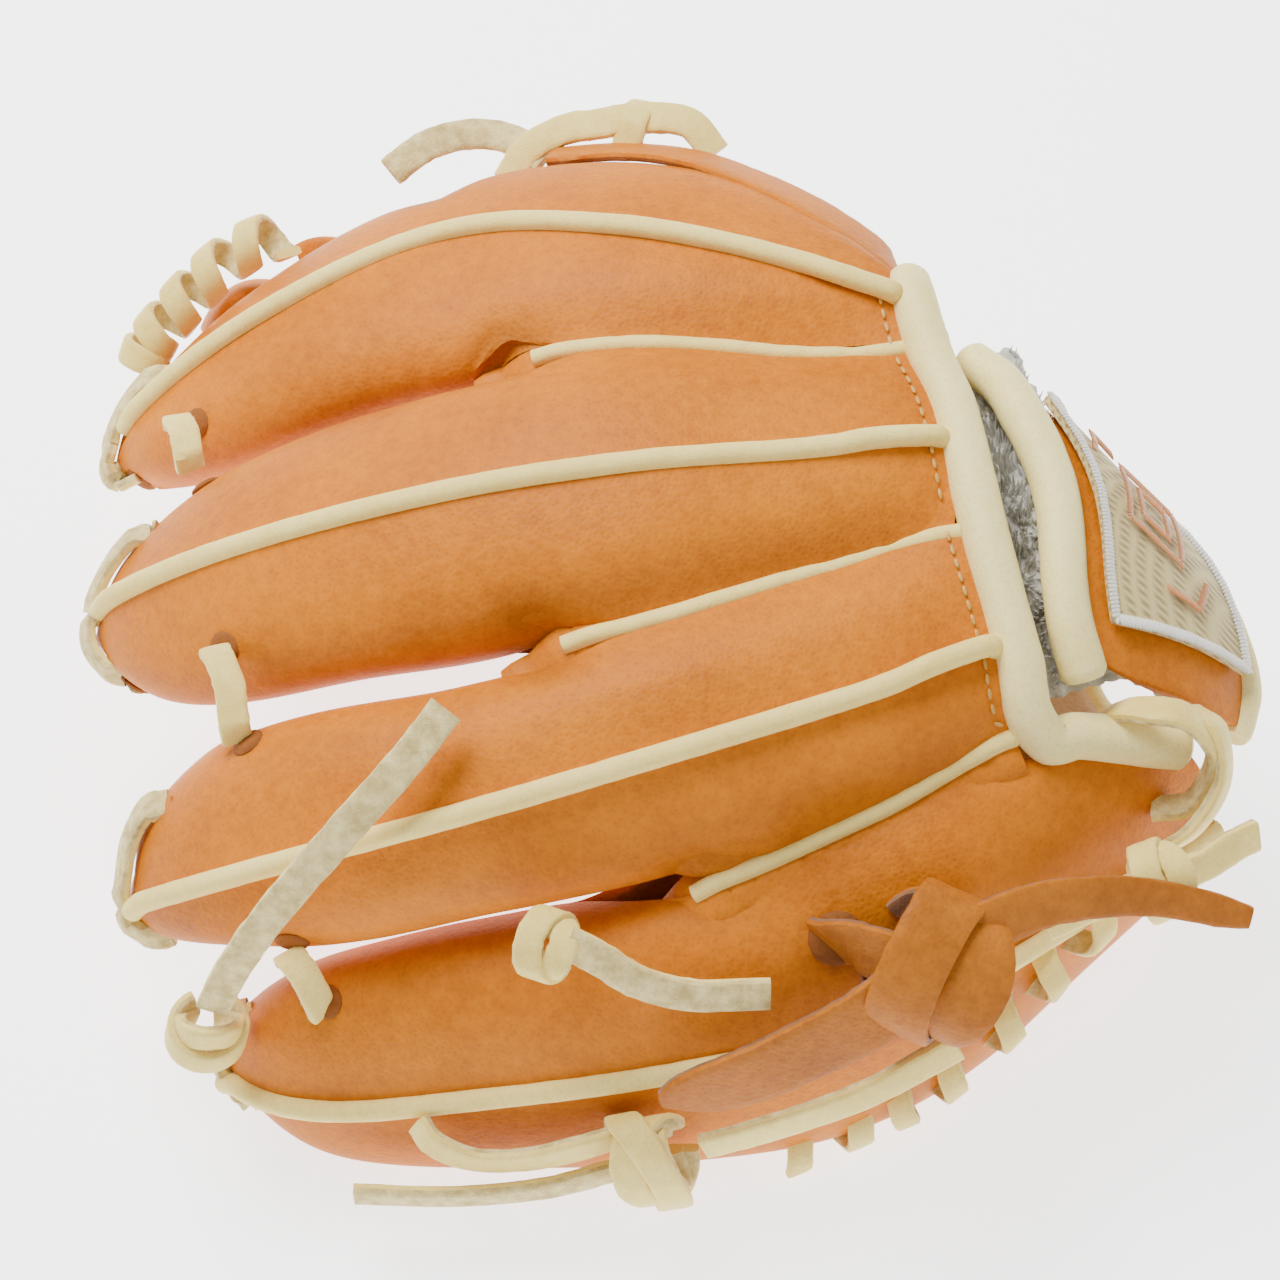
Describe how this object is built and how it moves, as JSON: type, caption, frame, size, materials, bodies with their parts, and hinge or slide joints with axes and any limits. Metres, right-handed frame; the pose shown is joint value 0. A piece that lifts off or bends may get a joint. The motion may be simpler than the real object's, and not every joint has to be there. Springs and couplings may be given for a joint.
{
  "type": "baseball glove",
  "caption": "Infielder's leather baseball glove for the left hand, laced fingers and web, welted seams, wrist strap, resting palm down and half closed.",
  "frame": {"origin": "centre of the glove's box, without its free lace tails, on the surface that it rests on", "axes": "+X to the wrist, -X to the fingertips; +Y to the thumb, -Y to the little finger; +Z out of the back of the hand"},
  "size_m": [0.2402, 0.223, 0.1044],
  "materials": {
    "tan_leather": "warm tan steer leather, fine pebble grain, soft sheen",
    "cream_leather": "smooth cream leather welting and rolled binding",
    "rawhide_lace": "pale rawhide lace, smooth on one side and suede on the other",
    "brown_strap": "brown leather strap with raw edges",
    "grey_fur": "grey sheepskin pile",
    "wool_felt": "pale wool felt",
    "patch_cloth": "beige twill with a white stitched border and a plain motif",
    "lining_leather": "soft undyed lining leather, matt"
  },
  "bodies": {
    "hand": {"back_binding": "cream_leather", "crotch_knot": "rawhide_lace", "crotch_tail": "rawhide_lace", "heel_binding": "cream_leather", "heel_knot": "rawhide_lace", "heel_knot_tail": "rawhide_lace", "heel_pad": "wool_felt", "index_back_lower": "tan_leather", "index_back_upper": "tan_leather", "index_crest_welt": "cream_leather", "index_lining": "lining_leather", "index_middle_cross_lace": "rawhide_lace", "index_tip_lace": "rawhide_lace", "index_valley_welt": "cream_leather", "loop_strap_knot": "brown_strap", "loop_strap_tail_left": "brown_strap", "loop_strap_tail_right": "brown_strap", "middle_back_lower": "tan_leather", "middle_back_upper": "tan_leather", "middle_crest_welt": "cream_leather", "middle_lining": "lining_leather", "middle_ring_cross_lace": "rawhide_lace", "middle_tip_lace": "rawhide_lace", "middle_valley_welt": "cream_leather", "palm_leather": "tan_leather", "palm_lining": "lining_leather", "pinky_back_lower": "tan_leather", "pinky_back_upper": "tan_leather", "pinky_crest_welt": "cream_leather", "pinky_lining": "lining_leather", "pinky_tip_knot": "rawhide_lace", "pinky_tip_lace": "rawhide_lace", "pinky_tip_tail": "rawhide_lace", "ring_back_lower": "tan_leather", "ring_back_upper": "tan_leather", "ring_crest_welt": "cream_leather", "ring_lining": "lining_leather", "ring_pinky_cross_lace": "rawhide_lace", "ring_tip_lace": "rawhide_lace", "ring_valley_welt": "cream_leather", "side_knot": "rawhide_lace", "side_knot_tail_left": "rawhide_lace", "side_knot_tail_right": "rawhide_lace", "side_lace": "rawhide_lace", "wrist_lace": "rawhide_lace"},
    "thumb": {"thumb_back_lower": "tan_leather", "thumb_back_upper": "tan_leather", "thumb_crest_welt": "cream_leather", "thumb_heel_binding": "cream_leather", "thumb_lining": "lining_leather", "thumb_pad": "wool_felt", "thumb_palm_leather": "tan_leather"},
    "web": {"web_panel": "tan_leather", "web_top_bar": "cream_leather"},
    "wrist_strap_body": {"strap_fur_lining": "grey_fur", "strap_inner_binding": "cream_leather", "strap_outer_binding": "cream_leather", "strap_patch": "patch_cloth", "wrist_strap": "tan_leather"}
  },
  "joints": [
    {"name": "pocket_fold", "type": "hinge", "parent": "hand", "child": "thumb", "pos_m": [0.03034, 0.077, 0.06914], "axis": [0.9701, -0.2425, 0], "range_deg": [-3, 12], "stiffness_Nm_per_rad": 4},
    {"name": "web_fold", "type": "hinge", "parent": "hand", "child": "web", "pos_m": [0.03034, 0.077, 0.06914], "axis": [0.9701, -0.2425, 0], "range_deg": [-1.6, 6.1], "stiffness_Nm_per_rad": 0.5},
    {"name": "strap_flex", "type": "hinge", "parent": "hand", "child": "wrist_strap_body", "pos_m": [0.08034, 0.01, 0.06614], "axis": [0.421, -0.904, -0.074], "range_deg": [-5, 6], "stiffness_Nm_per_rad": 0.8}
  ],
  "couplings": [
    {"joint": "web_fold", "follows": "pocket_fold", "ratio": 0.5}
  ]
}
